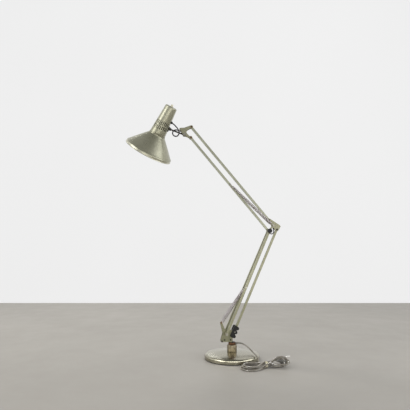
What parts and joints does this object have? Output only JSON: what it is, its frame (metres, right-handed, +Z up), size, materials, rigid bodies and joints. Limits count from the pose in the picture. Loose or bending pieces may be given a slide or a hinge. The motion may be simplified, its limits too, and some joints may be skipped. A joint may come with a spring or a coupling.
{
  "type": "adjustable arm lamp",
  "caption": "Spring-balanced adjustable arm lamp with a round weighted base, two parallel-bar arms, a cone shade with a slotted neck, and a tied mains cord.",
  "frame": {"origin": "centre of the base underside", "axes": "+Z up through the swivel post; +X from the post towards the elbow side, so the head is towards -X; the arms lie in the XZ plane"},
  "size_m": [0.5802, 0.2994, 0.9242],
  "materials": {
    "satin_nickel": "satin",
    "cast_iron": "rough",
    "dark_pad": "matt",
    "zinc_steel": "satin",
    "copper_brass": "satin",
    "olive_paint": "satin",
    "head_paint": "satin gloss",
    "dark_steel": "satin",
    "spring_steel": "satin",
    "black_plastic": "matt",
    "ceramic_white": "gloss",
    "bulb_milk": "frosted",
    "brass": "satin",
    "cream_plastic": "gloss",
    "cord_grey": "gloss",
    "cable_black": "satin",
    "plug_grey": "satin",
    "plug_pin_metal": "satin"
  },
  "bodies": {
    "base": {"base_pad": "dark_pad", "base_weight": "cast_iron", "base_cover": "satin_nickel", "stem_post": "zinc_steel", "stem_nut": "zinc_steel", "stem_collar": "satin_nickel", "swivel_bushing": "copper_brass", "cord_grommet": "cord_grey", "mains_cord_run": "cord_grey", "mains_cord_tail": "cord_grey", "mains_cord_hank": "cord_grey", "cord_tie": "cream_plastic", "mains_plug": "plug_grey", "plug_pins": "plug_pin_metal"},
    "turret": {"turret_block": "zinc_steel", "turret_plates": "olive_paint", "turret_screws": "dark_steel", "lower_pivot_bolt": "copper_brass", "link_bolt": "dark_steel", "turret_spacers": "black_plastic", "lower_spring_pin": "copper_brass"},
    "link_knob_body": {"link_knob": "black_plastic"},
    "lower_arm": {"lower_arm_bars": "olive_paint", "lower_anchor_pin": "copper_brass", "lower_arm_wire": "cable_black"},
    "lower_link": {"lower_link_bar": "olive_paint"},
    "elbow": {"elbow_plates": "olive_paint", "elbow_bolt": "dark_steel", "elbow_washer": "dark_steel", "elbow_link_pins": "copper_brass", "upper_spring_pin": "copper_brass", "elbow_cable": "cable_black"},
    "elbow_knob_body": {"elbow_knob": "black_plastic"},
    "upper_arm": {"upper_arm_bar": "olive_paint", "upper_anchor_pin": "copper_brass", "upper_arm_wire": "cable_black"},
    "upper_link": {"upper_link_bar": "olive_paint"},
    "head_bracket": {"head_bracket_plates": "olive_paint", "bracket_pins": "copper_brass", "tilt_bolt": "dark_steel", "tilt_nut": "dark_steel"},
    "tilt_arm_body": {"tilt_arm": "dark_steel"},
    "head": {"neck_housing": "head_paint", "shade": "head_paint", "swivel_boss": "olive_paint", "swivel_nut": "zinc_steel", "cable_grommet": "black_plastic", "head_cable": "cable_black", "lampholder": "ceramic_white", "bulb_cap": "zinc_steel", "bulb_glass": "bulb_milk", "switch_body": "cream_plastic", "switch_bezel": "cream_plastic"},
    "button": {"switch_button": "cream_plastic"},
    "lower_spring_foot": {"lower_springs": "spring_steel", "lower_spring_hooks": "spring_steel"},
    "lower_spring_head": {"lower_spring_ends": "spring_steel"},
    "upper_spring_foot": {"upper_springs": "spring_steel", "upper_spring_hooks": "spring_steel"},
    "upper_spring_head": {"upper_spring_ends": "spring_steel"}
  },
  "joints": [
    {"name": "turret_swivel", "type": "hinge", "parent": "base", "child": "turret", "pos_m": [0, 0, 0.0535], "axis": [0, 0, 1], "range_deg": [-170, 170]},
    {"name": "lower_arm_tilt", "type": "hinge", "parent": "turret", "child": "lower_arm", "pos_m": [-0.0222, 0, 0.0885], "axis": [0, 1, 0], "range_deg": [-34, 30]},
    {"name": "lower_link_tilt", "type": "hinge", "parent": "turret", "child": "lower_link", "pos_m": [0.009, 0, 0.0944], "axis": [0, 1, 0], "range_deg": [-40, 36]},
    {"name": "elbow_level", "type": "hinge", "parent": "lower_arm", "child": "elbow", "pos_m": [0.1418, 0, 0.4585], "axis": [0, 1, 0], "range_deg": [-36, 40], "deforming": ["elbow_cable"]},
    {"name": "upper_arm_tilt", "type": "hinge", "parent": "elbow", "child": "upper_arm", "pos_m": [0.1418, 0, 0.4585], "axis": [0, 1, 0], "range_deg": [-60, 28]},
    {"name": "upper_link_tilt", "type": "hinge", "parent": "elbow", "child": "upper_link", "pos_m": [0.1439, 0, 0.4991], "axis": [0, 1, 0], "range_deg": [-68, 36]},
    {"name": "bracket_level", "type": "hinge", "parent": "upper_arm", "child": "head_bracket", "pos_m": [-0.1517, 0, 0.8061], "axis": [0, 1, 0], "range_deg": [-36, 68]},
    {"name": "head_tilt", "type": "hinge", "parent": "head_bracket", "child": "tilt_arm_body", "pos_m": [-0.176, 0, 0.8165], "axis": [0, 1, 0], "range_deg": [-30, 60]},
    {"name": "head_swivel", "type": "hinge", "parent": "tilt_arm_body", "child": "head", "pos_m": [-0.2608, 0, 0.8474], "axis": [0.9396, 0, -0.3424], "range_deg": [-112, 68], "deforming": ["head_cable"]},
    {"name": "switch_press", "type": "slide", "parent": "head", "child": "button", "axis": [-0.439, 0.375, -0.8165], "range_m": [0, 0.003], "stiffness_N_per_m": 300, "springref_m": -0.002},
    {"name": "link_knob_turn", "type": "hinge", "parent": "turret", "child": "link_knob_body", "pos_m": [0.009, 0, 0.0944], "axis": [0, 1, 0], "continuous": true},
    {"name": "elbow_knob_turn", "type": "hinge", "parent": "elbow", "child": "elbow_knob_body", "pos_m": [0.1418, 0, 0.4585], "axis": [0, 1, 0], "continuous": true},
    {"name": "lower_spring_swing", "type": "hinge", "parent": "turret", "child": "lower_spring_foot", "pos_m": [-0.0389, 0, 0.1263], "axis": [0, 1, 0], "range_deg": [-44.57, 40.03]},
    {"name": "lower_spring_stretch", "type": "slide", "parent": "lower_spring_foot", "child": "lower_spring_head", "axis": [0.5784, 0, 0.8157], "range_m": [-0.02266, 0.02047], "deforming": ["lower_springs", "lower_spring_hooks", "lower_spring_ends"]},
    {"name": "upper_spring_swing", "type": "hinge", "parent": "elbow", "child": "upper_spring_foot", "pos_m": [0.1585, 0, 0.4793], "axis": [0, 1, 0], "range_deg": [-66.74, 35.41]},
    {"name": "upper_spring_stretch", "type": "slide", "parent": "upper_spring_foot", "child": "upper_spring_head", "axis": [-0.7306, 0, 0.6828], "range_m": [-0.01588, 0.02945], "deforming": ["upper_springs", "upper_spring_hooks", "upper_spring_ends"]}
  ],
  "couplings": [
    {"joint": "lower_link_tilt", "follows": "lower_arm_tilt", "ratio": 1},
    {"joint": "elbow_level", "follows": "lower_arm_tilt", "ratio": -1},
    {"joint": "upper_link_tilt", "follows": "upper_arm_tilt", "ratio": 1},
    {"joint": "bracket_level", "follows": "upper_arm_tilt", "ratio": -1},
    {"joint": "lower_spring_swing", "follows": "lower_arm_tilt", "ratio": 1.1345},
    {"joint": "lower_spring_stretch", "follows": "lower_arm_tilt", "m_per_rad": 0.03145},
    {"joint": "upper_spring_swing", "follows": "upper_arm_tilt", "ratio": 0.979},
    {"joint": "upper_spring_stretch", "follows": "upper_arm_tilt", "m_per_rad": -0.0243}
  ]
}
